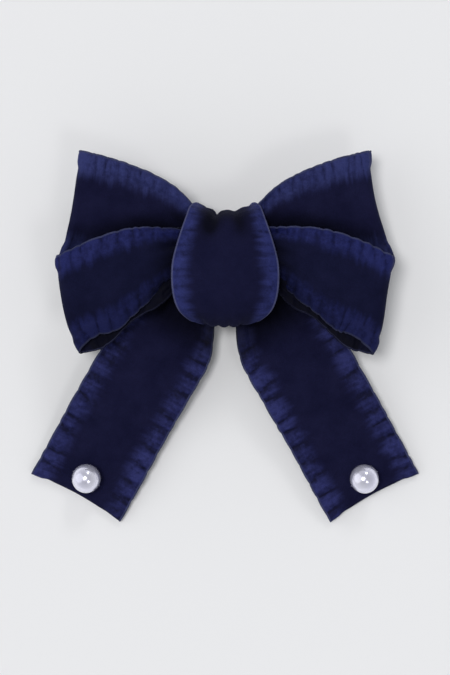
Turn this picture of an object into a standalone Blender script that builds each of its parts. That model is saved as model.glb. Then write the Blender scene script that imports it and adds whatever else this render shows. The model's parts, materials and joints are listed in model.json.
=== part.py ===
"""Ribbon hair bow with two pairs of loops, two tails and a spring clip.

The bow lies on its clip: +Z is the front of the bow, +Y its top, +X its right.
The origin is on the flat underside of the clip, below the middle of the knot.
All sizes are in metres.
"""
import math

import bmesh
import bpy
from mathutils import Matrix, Vector

MM = 0.001
SHARP_ANGLE = math.radians(35)

# Ribbon
RIBBON_WIDTH = 26.6 * MM
RIBBON_THICKNESS = 0.8 * MM
LAYER_GAP = 0.3 * MM

# Loops
LOOP_REACH = 44.4 * MM
LOOP_STEPS = 11
FOLD_STEPS = 5
WIDTH_STEPS = 6

# Pearls
PEARL_RADIUS = 3.8 * MM
PEARL_BORE = 0.45 * MM
PEARL_INSET = 5.5 * MM
PEARL_GAP = 0.1 * MM
THREAD_RADIUS = 0.22 * MM

# Clip
SHEET = 0.7 * MM
JAW_WIDTH = 8.6 * MM
HINGE_X = 18.0 * MM
HINGE_Z = 3.4 * MM
PLATE_BACK = 6.4 * MM
PLATE_FRONT = PLATE_BACK + SHEET
PLATE_TIP_X = -24.5 * MM
JAW_TIP_X = -23.4 * MM
JAW_BEND_X = -13.5 * MM
PLATE_BEND_X = 20.5 * MM
LEVER_END_X = 33.0 * MM
LEVER_RISE = math.radians(12)
EAR_RADIUS = 2.2 * MM
PIN_RADIUS = 0.8 * MM
PIN_CLEARANCE = 0.06 * MM
UPPER_EAR_Y = 3.45 * MM
LOWER_EAR_Y = 2.55 * MM
TOOTH_COUNT = 6
TOOTH_HEIGHT = 0.9 * MM

# Heights of the ribbon layers where they are pinched, from the clip outwards
THREAD_SPACE = 0.85 * MM
LAYER_STEP = RIBBON_THICKNESS + LAYER_GAP
LEFT_TAIL_Z = PLATE_FRONT + THREAD_SPACE + RIBBON_THICKNESS / 2
RIGHT_TAIL_Z = LEFT_TAIL_Z + LAYER_STEP
UPPER_BACK_Z = RIGHT_TAIL_Z + LAYER_STEP
UPPER_FRONT_Z = UPPER_BACK_Z + 1.6 * LAYER_STEP
LOWER_BACK_Z = UPPER_FRONT_Z + LAYER_STEP
LOWER_FRONT_Z = LOWER_BACK_Z + 2.2 * LAYER_STEP


def clear_scene():
    for item in list(bpy.data.objects):
        bpy.data.objects.remove(item, do_unlink=True)


def make_collection(name):
    collection = bpy.data.collections.new(name)
    bpy.context.scene.collection.children.link(collection)
    return collection


def make_material(name, colour, roughness, metallic=0.0):
    material = bpy.data.materials.new(name)
    material.use_nodes = True
    shader = material.node_tree.nodes["Principled BSDF"]
    shader.inputs["Base Color"].default_value = (*colour, 1.0)
    shader.inputs["Roughness"].default_value = roughness
    shader.inputs["Metallic"].default_value = metallic
    material.diffuse_color = (*colour, 1.0)
    return material


def link_mesh(name, mesh, material, collection):
    item = bpy.data.objects.new(name, mesh)
    collection.objects.link(item)
    mesh.materials.append(material)
    return item


def grid_object(name, rows, closed, material, collection):
    """Open surface through rows of points, given its thickness by Solidify."""
    columns = len(rows[0])
    vertices = [point for row in rows for point in row]
    faces = []
    last = len(rows) if closed else len(rows) - 1
    for i in range(last):
        near = i * columns
        far = ((i + 1) % len(rows)) * columns
        for j in range(columns - 1):
            faces.append((near + j, far + j, far + j + 1, near + j + 1))
    mesh = bpy.data.meshes.new(name)
    mesh.from_pydata(vertices, [], faces)
    mesh.shade_smooth()
    mesh.set_sharp_from_angle(angle=SHARP_ANGLE)
    item = link_mesh(name, mesh, material, collection)
    solidify = item.modifiers.new("Thickness", "SOLIDIFY")
    solidify.thickness = RIBBON_THICKNESS
    solidify.offset = 0.0
    solidify.use_even_offset = True
    return item


def smooth(t):
    t = min(max(t, 0.0), 1.0)
    return t * t * (3.0 - 2.0 * t)


def mix(a, b, t):
    return a + (b - a) * t


def curve_through(points, t):
    """Point at t in 0..1 on a smooth curve through evenly timed points."""
    spans = len(points) - 1
    place = min(max(t, 0.0), 1.0) * spans
    i = min(int(place), spans - 1)
    f = place - i
    p1 = Vector(points[i])
    p2 = Vector(points[i + 1])
    p0 = Vector(points[i - 1]) if i > 0 else 2 * p1 - p2
    p3 = Vector(points[i + 2]) if i + 2 <= spans else 2 * p2 - p1
    return 0.5 * (
        2 * p1
        + (p2 - p0) * f
        + (2 * p0 - 5 * p1 + 4 * p2 - p3) * f * f
        + (3 * p1 - p0 - 3 * p2 + p3) * f ** 3
    )


class LoopShape:
    """Centre line, width and heights of one pair of loops."""

    def __init__(self, centre_y, end_y, tilt, pinch_width, back_z, front_z):
        self.centre_y = centre_y
        self.end_y = end_y
        self.tilt = tilt
        self.pinch_width = pinch_width
        self.back_z = back_z
        self.front_z = front_z
        self.fold_radius = (front_z(1.0) - back_z(1.0)) / 2

    def row(self, side, x, z):
        """Points across the ribbon at distance x from the middle, on one side of the bow."""
        t = x / LOOP_REACH
        width = mix(self.pinch_width, RIBBON_WIDTH, smooth((t - 0.08) / 0.54))
        angle = self.tilt * smooth(t / 0.9)
        across = Vector((-side * math.sin(angle), math.cos(angle), 0.0))
        middle_y = mix(self.centre_y, self.end_y, mix(smooth(t), t, 0.75))
        lean = LOOP_REACH - RIBBON_WIDTH / 2 * abs(math.sin(self.tilt))
        middle = Vector((side * x * lean / LOOP_REACH, middle_y, z))
        row = []
        for j in range(WIDTH_STEPS + 1):
            v = j / WIDTH_STEPS - 0.5
            row.append(middle + across * v * width)
        return row

    def half(self, side):
        """Rows from the front middle out round the fold and back to the rear middle."""
        flat_reach = LOOP_REACH - self.fold_radius
        rows = []
        for i in range(LOOP_STEPS):
            t = (i + 0.5) / LOOP_STEPS
            rows.append(self.row(side, flat_reach * t, self.front_z(t)))
        middle_z = (self.front_z(1.0) + self.back_z(1.0)) / 2
        for i in range(FOLD_STEPS + 1):
            angle = math.pi * (0.5 - i / FOLD_STEPS)
            x = flat_reach + self.fold_radius * math.cos(angle)
            rows.append(self.row(side, x, middle_z + self.fold_radius * math.sin(angle)))
        for i in reversed(range(LOOP_STEPS)):
            t = (i + 0.5) / LOOP_STEPS
            rows.append(self.row(side, flat_reach * t, self.back_z(t)))
        return rows

    def rows(self):
        return self.half(1) + list(reversed(self.half(-1)))


def upper_back(t):
    return mix(UPPER_BACK_Z, 11.2 * MM, smooth(t / 0.4))


def upper_front(t):
    rise = mix(UPPER_FRONT_Z, 15.4 * MM, smooth(t / 0.4))
    return rise + 0.4 * MM * math.sin(math.pi * smooth(t))


def lower_back(t):
    return mix(LOWER_BACK_Z, 17.0 * MM, smooth(t / 0.36))


def lower_front(t):
    rise = mix(LOWER_FRONT_Z, 22.0 * MM, smooth(t / 0.5))
    return rise + 1.6 * MM * math.sin(math.pi * smooth(t))


def upper_loops(material, collection):
    shape = LoopShape(3.8 * MM, 16.0 * MM, math.radians(14.5), 12.0 * MM, upper_back, upper_front)
    return grid_object("upper_loop_ribbon", shape.rows(), True, material, collection)


def lower_loops(material, collection):
    shape = LoopShape(2.6 * MM, -11.0 * MM, math.radians(-14.0), 11.0 * MM, lower_back, lower_front)
    return grid_object("lower_loop_ribbon", shape.rows(), True, material, collection)


TAIL_LINE = (
    (-2.4 * MM, 1.6 * MM),
    (-10.4 * MM, -5.4 * MM),
    (-12.6 * MM, -14.2 * MM),
    (-17.2 * MM, -22.8 * MM),
    (-22.5 * MM, -31.9 * MM),
    (-27.9 * MM, -41.3 * MM),
    (-33.3 * MM, -51.1 * MM),
    (-38.7 * MM, -60.9 * MM),
)
TAIL_STEPS = 28
TURN_STEPS = 5
HEM_STEPS = 4
HEM_LENGTH = 9.0 * MM
HEM_GAP = 0.4 * MM
HEM_RADIUS = (RIBBON_THICKNESS + HEM_GAP) / 2


def tail_half_width(t):
    return mix(3.8 * MM, RIBBON_WIDTH / 2, smooth((t - 0.07) / 0.34))


def tail_height(t, pinch_z):
    """Height of the ribbon's middle: level at the knot, then down to the surface."""
    end = RIBBON_THICKNESS * 1.5 + HEM_GAP
    return mix(end, pinch_z, math.sin(math.pi / 2 * min((1.0 - t) / 0.9, 1.0)))


def tail_frame(t, pinch_z):
    """Middle point, direction along and direction across the left tail at t."""
    step = 0.004
    line = [(x, y, 0.0) for x, y in TAIL_LINE]
    here = curve_through(line, t)
    before = curve_through(line, t - step)
    after = curve_through(line, t + step)
    here.z = tail_height(t, pinch_z)
    before.z = tail_height(max(t - step, 0.0), pinch_z)
    after.z = tail_height(min(t + step, 1.0), pinch_z)
    along = (after - before).normalized()
    across = Vector((-along.y, along.x, 0.0)).normalized()
    return here, along, across


def tail_normal(along, across):
    """Direction square to the tail, away from the clip."""
    normal = across.cross(along).normalized()
    return normal if normal.z > 0 else -normal


def tail_row(middle, across, half):
    """Points across the tail, half the width to each side of its middle."""
    return [middle + across * half * (2 * j / WIDTH_STEPS - 1) for j in range(WIDTH_STEPS + 1)]


def tail_rows(pinch_z):
    """Rows of the left tail: down the front, round the fold and back along the hem."""
    rows = []
    for i in range(TAIL_STEPS + 1):
        t = i / TAIL_STEPS
        here, along, across = tail_frame(t, pinch_z)
        rows.append(tail_row(here, across, tail_half_width(t)))
    here, along, across = tail_frame(1.0, pinch_z)
    up = tail_normal(along, across)
    centre = here - up * HEM_RADIUS
    for i in range(1, TURN_STEPS + 1):
        angle = math.pi * i / TURN_STEPS
        middle = centre + up * HEM_RADIUS * math.cos(angle) + along * HEM_RADIUS * math.sin(angle)
        rows.append(tail_row(middle, across, RIBBON_WIDTH / 2))
    for i in range(1, HEM_STEPS + 1):
        t = 1.0 - i / HEM_STEPS * HEM_LENGTH / TAIL_LENGTH
        here, along, across = tail_frame(t, pinch_z)
        middle = here - tail_normal(along, across) * HEM_RADIUS * 2
        rows.append(tail_row(middle, across, RIBBON_WIDTH / 2))
    return rows


def tail_length():
    line = [(x, y, 0.0) for x, y in TAIL_LINE]
    points = [curve_through(line, i / 60) for i in range(61)]
    return sum((b - a).length for a, b in zip(points, points[1:]))


TAIL_LENGTH = tail_length()


def mirror_rows(rows):
    return [[Vector((-p.x, p.y, p.z)) for p in row] for row in rows]


def pearl_frame(pinch_z):
    """Where the left pearl sits: its centre, the tail's across direction and its normal."""
    t = 1.0 - PEARL_INSET / TAIL_LENGTH
    here, along, across = tail_frame(t, pinch_z)
    normal = tail_normal(along, across)
    centre = here + normal * (RIBBON_THICKNESS / 2 + PEARL_RADIUS + PEARL_GAP)
    return centre, across, normal


THREAD_FOOT = 2.1 * MM
THREAD_BOW = PEARL_RADIUS + 0.42 * MM
THREAD_DROP = PEARL_RADIUS + 1.5 * RIBBON_THICKNESS + 1.35 * MM


def thread_outline():
    """Closed path of the pearl's thread: (across, height) from the pearl's centre."""
    reach = THREAD_BOW
    right = [(reach - 0.5 * MM, 0.0)]
    for degrees in (-6, -16, -28, -40, -50):
        angle = math.radians(degrees)
        right.append((reach * math.cos(angle), reach * math.sin(angle)))
    right.append((THREAD_FOOT + 0.03 * MM, -PEARL_RADIUS + 0.22 * MM))
    right.append((THREAD_FOOT, -PEARL_RADIUS - 0.2 * MM))
    right.append((THREAD_FOOT, -THREAD_DROP + 0.5 * MM))
    right.append((THREAD_FOOT - 0.35 * MM, -THREAD_DROP))
    left = [(-a, h) for a, h in reversed(right)]
    return right + left


def closed_wire(name, points, radius, material, collection):
    curve = bpy.data.curves.new(name, "CURVE")
    curve.dimensions = "3D"
    curve.bevel_depth = radius
    curve.bevel_resolution = 2
    spline = curve.splines.new("POLY")
    spline.points.add(len(points) - 1)
    for slot, point in zip(spline.points, points):
        slot.co = (*point, 1.0)
    spline.use_cyclic_u = True
    item = bpy.data.objects.new(name, curve)
    collection.objects.link(item)
    curve.materials.append(material)
    return item


def open_wire(name, points, radius, material, collection):
    item = closed_wire(name, points, radius, material, collection)
    item.data.splines[0].use_cyclic_u = False
    item.data.use_fill_caps = True
    return item


def pearl(name, centre, across, material, collection, cutters):
    mesh = bpy.data.meshes.new(name)
    shape = bmesh.new()
    bmesh.ops.create_uvsphere(shape, u_segments=28, v_segments=18, radius=PEARL_RADIUS)
    shape.to_mesh(mesh)
    shape.free()
    item = link_mesh(name, mesh, material, collection)
    item.matrix_world = Matrix.Translation(centre) @ across.to_track_quat("Z", "Y").to_matrix().to_4x4()
    mesh.shade_smooth()
    mesh.set_sharp_from_angle(angle=SHARP_ANGLE)
    cutter = cylinder(name + "_bore", PEARL_BORE, PEARL_RADIUS * 3, 16, None, cutters)
    cutter.matrix_world = item.matrix_world.copy()
    cut(item, cutter)
    return item


def cylinder(name, radius, length, segments, material, collection):
    """Cylinder along its own Z, centred on its origin."""
    mesh = bpy.data.meshes.new(name)
    shape = bmesh.new()
    bmesh.ops.create_cone(
        shape, cap_ends=True, segments=segments, radius1=radius, radius2=radius, depth=length
    )
    shape.to_mesh(mesh)
    shape.free()
    mesh.shade_smooth()
    mesh.set_sharp_from_angle(angle=SHARP_ANGLE)
    item = bpy.data.objects.new(name, mesh)
    collection.objects.link(item)
    if material:
        mesh.materials.append(material)
    else:
        hide_cutter(item)
    return item


def hide_cutter(item):
    item.hide_render = True
    item.display_type = "WIRE"


def boolean(item, other, operation):
    modifier = item.modifiers.new(other.name, "BOOLEAN")
    modifier.operation = operation
    modifier.solver = "EXACT"
    modifier.object = other


def cut(item, cutter):
    boolean(item, cutter, "DIFFERENCE")


def tail(name, side, pinch_z, fabric, pearl_look, thread_look, collection, cutters):
    rows = tail_rows(pinch_z)
    centre, across, normal = pearl_frame(pinch_z)
    if side > 0:
        rows = mirror_rows(rows)
        centre, across, normal = mirror_rows([[centre, across, normal]])[0]
    item = grid_object("tail_" + name, rows, False, fabric, collection)
    for sign in (-1, 1):
        hole = "thread_hole_%s_%d" % (name, sign)
        cutter = cylinder(hole, THREAD_RADIUS * 1.5, 6 * MM, 12, None, cutters)
        foot = centre + across * sign * THREAD_FOOT - normal * (PEARL_RADIUS + 1.2 * MM)
        cutter.matrix_world = Matrix.Translation(foot) @ normal.to_track_quat("Z", "Y").to_matrix().to_4x4()
        cut(item, cutter)
    pearl("pearl_" + name, centre, across, pearl_look, collection, cutters)
    path = [centre + across * a + normal * h for a, h in thread_outline()]
    closed_wire("pearl_thread_" + name, path, THREAD_RADIUS, thread_look, collection)


BAND_FRONT_Z = 25.4 * MM
BAND_TOP_Y = 13.6 * MM
BAND_BOTTOM_Y = -16.6 * MM
BAND_UNDER_Z = PLATE_BACK - LAYER_GAP - RIBBON_THICKNESS / 2
BAND_SIDE_Y = JAW_WIDTH / 2 + 0.9 * MM
BAND_BACK_HALF = 4.4 * MM
BAND_END_HALF = 8.7 * MM
BAND_FRONT_HALF = 13.6 * MM

# Stations round the band, looking along X: (y, z, half width), clockwise from the front
BAND_STATIONS = (
    (-1.5 * MM, BAND_FRONT_Z, BAND_FRONT_HALF),
    (6.0 * MM, BAND_FRONT_Z - 1.2 * MM, BAND_FRONT_HALF - 1.0 * MM),
    (11.4 * MM, BAND_FRONT_Z - 4.6 * MM, BAND_END_HALF + 1.2 * MM),
    (BAND_TOP_Y, BAND_FRONT_Z - 10.0 * MM, BAND_END_HALF - 1.0 * MM),
    (13.3 * MM, 9.8 * MM, BAND_BACK_HALF + 1.2 * MM),
    (BAND_SIDE_Y + 0.8 * MM, 7.1 * MM, BAND_BACK_HALF),
    (BAND_SIDE_Y - 0.5 * MM, BAND_UNDER_Z + 0.25 * MM, BAND_BACK_HALF),
    (3.4 * MM, BAND_UNDER_Z, BAND_BACK_HALF),
    (0.0, BAND_UNDER_Z, BAND_BACK_HALF),
    (-3.4 * MM, BAND_UNDER_Z, BAND_BACK_HALF),
    (-BAND_SIDE_Y + 0.5 * MM, BAND_UNDER_Z + 0.25 * MM, BAND_BACK_HALF),
    (-BAND_SIDE_Y - 0.6 * MM, 7.6 * MM, BAND_BACK_HALF),
    (-12.2 * MM, 11.4 * MM, BAND_BACK_HALF + 0.2 * MM),
    (BAND_BOTTOM_Y, BAND_FRONT_Z - 9.0 * MM, BAND_END_HALF - 1.0 * MM),
    (-15.0 * MM, BAND_FRONT_Z - 3.8 * MM, BAND_END_HALF + 1.6 * MM),
    (-9.8 * MM, BAND_FRONT_Z - 0.8 * MM, BAND_FRONT_HALF - 0.6 * MM),
)


def knot_band(material, collection):
    steps = 3 * len(BAND_STATIONS)
    rows = []
    for i in range(steps):
        y, z, half = closed_curve(BAND_STATIONS, i / steps)
        rows.append(band_row(y, z, half))
    return grid_object("knot_band", rows, True, material, collection)


def band_row(y, z, half):
    """Points across the band; its side edges curl back towards the clip."""
    row = []
    fullness = smooth((z - 14 * MM) / (8 * MM))
    for j in range(WIDTH_STEPS + 1):
        v = 2 * j / WIDTH_STEPS - 1
        curl = 1.6 * MM * fullness * v * v
        row.append(Vector((v * half, y, z - curl)))
    return row


def closed_curve(points, t):
    """Point at t in turns on a smooth closed curve through points."""
    count = len(points)
    place = (t % 1.0) * count
    i = int(place) % count
    ring = [points[(i + k - 1) % count] for k in range(4)]
    return curve_through(ring, (1 + place - int(place)) / 3)


def binding_thread(material, collection):
    """Four turns of thread round the pinched ribbons."""
    turns = 4
    per_turn = 26
    pitch = 0.62 * MM
    low = LEFT_TAIL_Z - RIBBON_THICKNESS / 2 - 0.4 * MM
    high = LOWER_FRONT_Z + RIBBON_THICKNESS / 2 + 1.0 * MM
    around = (
        (0.0, 0.0, low),
        (0.0, 4.2 * MM, low + 0.15 * MM),
        (0.0, 7.4 * MM, low + 1.3 * MM),
        (0.0, 10.6 * MM, low + 2.5 * MM),
        (0.0, 10.8 * MM, low + 5.2 * MM),
        (0.0, 9.6 * MM, high - 1.6 * MM),
        (0.0, 8.3 * MM, high - 0.2 * MM),
        (0.0, 5.4 * MM, high),
        (0.0, 0.4 * MM, high),
        (0.0, -2.9 * MM, high - 0.2 * MM),
        (0.0, -4.1 * MM, high - 1.6 * MM),
        (0.0, -3.9 * MM, low + 4.6 * MM),
        (0.0, -4.3 * MM, low + 0.8 * MM),
    )
    points = []
    for i in range(turns * per_turn + 1):
        point = closed_curve(around, i / per_turn)
        point.x = (i / per_turn - turns / 2) * pitch
        points.append(point)
    return open_wire("binding_thread", points, THREAD_RADIUS, material, collection)


def extruded_profile(name, outline, half_width, material, collection):
    """Solid with an XZ outline, extruded along Y to both sides of the middle."""
    mesh = bpy.data.meshes.new(name)
    shape = bmesh.new()
    near = [shape.verts.new((x, -half_width, z)) for x, z in outline]
    face = shape.faces.new(near)
    moved = bmesh.ops.extrude_face_region(shape, geom=[face])
    verts = [v for v in moved["geom"] if isinstance(v, bmesh.types.BMVert)]
    bmesh.ops.translate(shape, verts=verts, vec=(0, 2 * half_width, 0))
    bmesh.ops.recalc_face_normals(shape, faces=shape.faces)
    shape.to_mesh(mesh)
    shape.free()
    item = bpy.data.objects.new(name, mesh)
    collection.objects.link(item)
    if material:
        mesh.materials.append(material)
    else:
        hide_cutter(item)
    return item


def strip_outline(path, thickness):
    """Closed outline of a bent sheet whose underside follows path, seen along Y."""
    top = []
    for i, (x, z) in enumerate(path):
        before = Vector(path[max(i - 1, 0)])
        after = Vector(path[min(i + 1, len(path) - 1)])
        along = (after - before).normalized()
        stretch = 1.0
        if 0 < i < len(path) - 1:
            first = (Vector(path[i]) - before).normalized()
            stretch = 1.0 / max(first.dot(along), 0.5)
        top.append((x - along.y * thickness * stretch, z + along.x * thickness * stretch))
    return list(path) + list(reversed(top))


def ear_outline(rise):
    """Round-ended ear about the hinge axis, running up (rise > 0) or down to its sheet."""
    direction = 1 if rise > 0 else -1
    outline = [(HINGE_X + EAR_RADIUS, HINGE_Z + rise)]
    steps = 12
    for i in range(steps + 1):
        angle = math.pi * i / steps
        outline.append(
            (HINGE_X + EAR_RADIUS * math.cos(angle), HINGE_Z - direction * EAR_RADIUS * math.sin(angle))
        )
    outline.append((HINGE_X - EAR_RADIUS, HINGE_Z + rise))
    return outline


def shifted(item, y):
    item.location.y = y
    return item


def across_hinge(item):
    """Lay a Z cylinder along the hinge axis."""
    item.location = (HINGE_X, 0.0, HINGE_Z)
    item.rotation_euler = (math.pi / 2, 0.0, 0.0)
    return item


def rounded_ends(name, low_x, high_x, half_width, cutters):
    """Upright prism with a round-cornered plan, which trims a jaw's two ends."""
    corner = half_width * 0.8
    outline = []
    centres = (
        (high_x - corner, half_width - corner, 0),
        (low_x + corner, half_width - corner, 90),
        (low_x + corner, corner - half_width, 180),
        (high_x - corner, corner - half_width, 270),
    )
    steps = 6
    for x, y, start in centres:
        for i in range(steps + 1):
            angle = math.radians(start + 90 * i / steps)
            outline.append((x + corner * math.cos(angle), y + corner * math.sin(angle)))
    mesh = bpy.data.meshes.new(name)
    shape = bmesh.new()
    face = shape.faces.new([shape.verts.new((x, y, -20 * MM)) for x, y in outline])
    moved = bmesh.ops.extrude_face_region(shape, geom=[face])
    verts = [v for v in moved["geom"] if isinstance(v, bmesh.types.BMVert)]
    bmesh.ops.translate(shape, verts=verts, vec=(0, 0, 60 * MM))
    bmesh.ops.recalc_face_normals(shape, faces=shape.faces)
    shape.to_mesh(mesh)
    shape.free()
    item = bpy.data.objects.new(name, mesh)
    cutters.objects.link(item)
    hide_cutter(item)
    return item


def jaw(name, path, ear_rise, ear_y, material, collection, cutters):
    """Bent sheet with two ears and a hole through them for the pin."""
    item = extruded_profile(name, strip_outline(path, SHEET), JAW_WIDTH / 2, material, collection)
    low_x = min(x for x, z in path)
    high_x = max(x for x, z in path) + 0.2 * MM
    plan = rounded_ends(name + "_plan", low_x, high_x, JAW_WIDTH / 2, cutters)
    boolean(item, plan, "INTERSECT")
    for side in (-1, 1):
        ear = extruded_profile("%s_ear_%d" % (name, side), ear_outline(ear_rise), SHEET / 2, None, cutters)
        shifted(ear, side * (ear_y + SHEET / 2))
        boolean(item, ear, "UNION")
    hole_radius = PIN_RADIUS + PIN_CLEARANCE
    hole = cylinder(name + "_hole", hole_radius, 3 * JAW_WIDTH, 24, None, cutters)
    cut(item, across_hinge(hole))
    return item


def upper_jaw(material, collection, cutters):
    lever_end_z = PLATE_BACK + (LEVER_END_X - PLATE_BEND_X) * math.tan(LEVER_RISE)
    path = (
        (PLATE_TIP_X, PLATE_BACK),
        (PLATE_BEND_X, PLATE_BACK),
        (LEVER_END_X, lever_end_z),
    )
    rise = PLATE_BACK - HINGE_Z + SHEET / 2
    return jaw("clip_upper_jaw", path, rise, UPPER_EAR_Y, material, collection, cutters)


def lower_jaw(material, collection, cutters):
    tip_z = PLATE_BACK - LAYER_GAP - SHEET
    path = (
        (JAW_TIP_X, tip_z),
        (JAW_BEND_X, 0.0),
        (LEVER_END_X - 1.0 * MM, 0.0),
    )
    rise = SHEET / 2 - HINGE_Z
    item = jaw("clip_lower_jaw", path, rise, LOWER_EAR_Y, material, collection, cutters)
    for side in (-1, 1):
        teeth = extruded_profile("teeth_%d" % side, teeth_outline(tip_z), SHEET / 2, None, cutters)
        shifted(teeth, side * (JAW_WIDTH / 2 - SHEET / 2 - 0.05 * MM))
        boolean(item, teeth, "UNION")
    return put_origin(item, Vector((HINGE_X, 0.0, HINGE_Z)))


def put_origin(item, place):
    """Moves a piece's origin and leaves its shape where it is."""
    item.data.transform(Matrix.Translation(-place))
    item.location = place
    return item


def teeth_outline(tip_z):
    """Row of teeth that stands on the sloping part of the lower jaw."""
    start = Vector((JAW_BEND_X - 0.5 * MM, 0.0))
    slope = Vector((JAW_TIP_X - JAW_BEND_X, tip_z)).normalized()
    normal = Vector((slope.y, -slope.x))
    length = 5.6 * MM
    base = start + Vector((0.0, SHEET * 0.45))
    outline = [base, base + slope * length]
    for i in range(TOOTH_COUNT):
        outer = length * (1 - i / TOOTH_COUNT)
        inner = length * (1 - (i + 0.5) / TOOTH_COUNT)
        outline.append(base + slope * outer + normal * SHEET)
        outline.append(base + slope * inner + normal * (SHEET + TOOTH_HEIGHT))
    outline.append(base + normal * SHEET)
    return [(p.x, p.y) for p in outline]


def hinge_pin(material, collection, cutters):
    half = UPPER_EAR_Y + SHEET + 0.15 * MM
    item = across_hinge(cylinder("hinge_pin", PIN_RADIUS, 2 * half + 0.6 * MM, 24, material, collection))
    for side in (-1, 1):
        head = cylinder("pin_head_%d" % side, PIN_RADIUS * 1.6, 0.5 * MM, 24, None, cutters)
        across_hinge(head)
        head.location.y = side * (half + 0.25 * MM)
        boolean(item, head, "UNION")
    return item


def torsion_spring(material, collection):
    """Close coil round the pin; a leg presses on each lever."""
    wire = 0.28 * MM
    coil = 1.35 * MM
    turns = 4.5
    pitch = 0.82 * MM
    per_turn = 20
    count = int(turns * per_turn)
    start_y = -turns * pitch / 2
    points = []
    upper_leg_end = Vector((HINGE_X + 9.5 * MM, start_y, 0.0))
    upper_leg_end.z = PLATE_BACK + (upper_leg_end.x - PLATE_BEND_X) * math.tan(LEVER_RISE) - wire - 0.25 * MM
    points.append(upper_leg_end)
    for i in range(count + 1):
        angle = math.pi / 2 + 2 * math.pi * i / per_turn
        points.append(
            Vector((
                HINGE_X + coil * math.cos(angle),
                start_y + pitch * i / per_turn,
                HINGE_Z + coil * math.sin(angle),
            ))
        )
    points.append(Vector((HINGE_X + 9.5 * MM, start_y + pitch * turns, SHEET + wire + 0.2 * MM)))
    return open_wire("torsion_spring", points, wire, material, collection)


def build():
    clear_scene()
    bow = make_collection("hair_bow")
    cutters = make_collection("cutters")
    velvet = make_material("navy_velvet", (0.0075, 0.0085, 0.032), 0.9)
    frill = make_material("navy_band", (0.009, 0.010, 0.038), 0.85)
    thread = make_material("navy_thread", (0.012, 0.013, 0.045), 0.7)
    pearl_look = make_material("pearl", (0.52, 0.53, 0.66), 0.18)
    clear_thread = make_material("white_thread", (0.70, 0.70, 0.72), 0.6)
    steel = make_material("clip_steel", (0.62, 0.62, 0.64), 0.25, 1.0)
    pin_steel = make_material("pin_steel", (0.50, 0.50, 0.52), 0.3, 1.0)
    spring_steel = make_material("spring_steel", (0.42, 0.42, 0.44), 0.35, 1.0)

    upper_loops(velvet, bow)
    lower_loops(velvet, bow)
    tail("left", -1, LEFT_TAIL_Z, velvet, pearl_look, clear_thread, bow, cutters)
    tail("right", 1, RIGHT_TAIL_Z, velvet, pearl_look, clear_thread, bow, cutters)
    knot_band(frill, bow)
    binding_thread(thread, bow)
    upper_jaw(steel, bow, cutters)
    lower_jaw(steel, bow, cutters)
    hinge_pin(pin_steel, bow, cutters)
    torsion_spring(spring_steel, bow)


build()
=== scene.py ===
"""Looks of the ribbon hair bow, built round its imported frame.

Lengths are worked out in millimetres and turned into metres where a mesh is made.
"""

import json
import math

import bpy
import numpy as np
from mathutils import Matrix, Vector


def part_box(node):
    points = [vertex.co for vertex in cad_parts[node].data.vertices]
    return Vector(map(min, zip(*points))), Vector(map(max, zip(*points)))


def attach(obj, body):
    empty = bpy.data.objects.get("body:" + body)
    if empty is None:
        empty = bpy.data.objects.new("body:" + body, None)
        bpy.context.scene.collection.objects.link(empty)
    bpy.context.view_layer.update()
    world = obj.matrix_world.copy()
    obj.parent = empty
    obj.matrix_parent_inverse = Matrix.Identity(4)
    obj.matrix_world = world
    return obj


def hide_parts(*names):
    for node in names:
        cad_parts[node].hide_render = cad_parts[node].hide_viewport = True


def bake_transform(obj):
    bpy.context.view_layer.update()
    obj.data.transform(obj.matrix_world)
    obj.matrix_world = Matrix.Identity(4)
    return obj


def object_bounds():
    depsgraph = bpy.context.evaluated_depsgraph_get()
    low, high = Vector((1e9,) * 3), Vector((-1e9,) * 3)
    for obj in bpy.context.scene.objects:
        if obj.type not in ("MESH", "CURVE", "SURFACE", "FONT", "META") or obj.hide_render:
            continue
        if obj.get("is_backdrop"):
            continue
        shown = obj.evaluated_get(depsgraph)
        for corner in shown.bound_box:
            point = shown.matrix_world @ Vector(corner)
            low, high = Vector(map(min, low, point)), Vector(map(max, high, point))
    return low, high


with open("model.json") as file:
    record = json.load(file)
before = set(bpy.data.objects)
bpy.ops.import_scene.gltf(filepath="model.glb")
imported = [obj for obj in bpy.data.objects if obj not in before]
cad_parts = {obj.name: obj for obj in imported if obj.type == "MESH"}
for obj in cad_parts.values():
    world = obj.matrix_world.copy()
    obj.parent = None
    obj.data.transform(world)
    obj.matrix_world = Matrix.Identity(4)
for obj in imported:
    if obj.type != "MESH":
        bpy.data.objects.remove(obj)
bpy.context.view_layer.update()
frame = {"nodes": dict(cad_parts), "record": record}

MM = 0.001

# Ribbon, in millimetres
RIBBON_HALF = 13.3
FRILL = 4.7
SELVEDGE = 0.38
CLOTH = 0.42
ROW_STEP = 0.42

# Width of the satin's colour at the edge of each ribbon, and how raggedly it meets the velvet
BACK_FRILL = 5.3
FRONT_FRILL = 5.6
BAND_FRILL = 3.4
RAGGED = 4.4
BORDER_IN = 2.3
BORDER_OUT = 1.9

VELVET_EDGE = 1.0 - FRILL / RIBBON_HALF
SELVEDGE_EDGE = 1.0 - SELVEDGE / RIBBON_HALF

# Material slots: three for the face, then the same three for the reverse
VELVET, SATIN, EDGE, BACKING = range(4)


def box_mm(node):
    """A CAD node's box in millimetres."""
    low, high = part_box(node)
    return np.array(low) / MM, np.array(high) / MM


def ease(t):
    t = np.clip(t, 0.0, 1.0)
    return t * t * (3.0 - 2.0 * t)


def mix(a, b, t):
    return a + (b - a) * t


def bell(x, centre, width):
    return np.exp(-(((x - centre) / width) ** 2))


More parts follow.
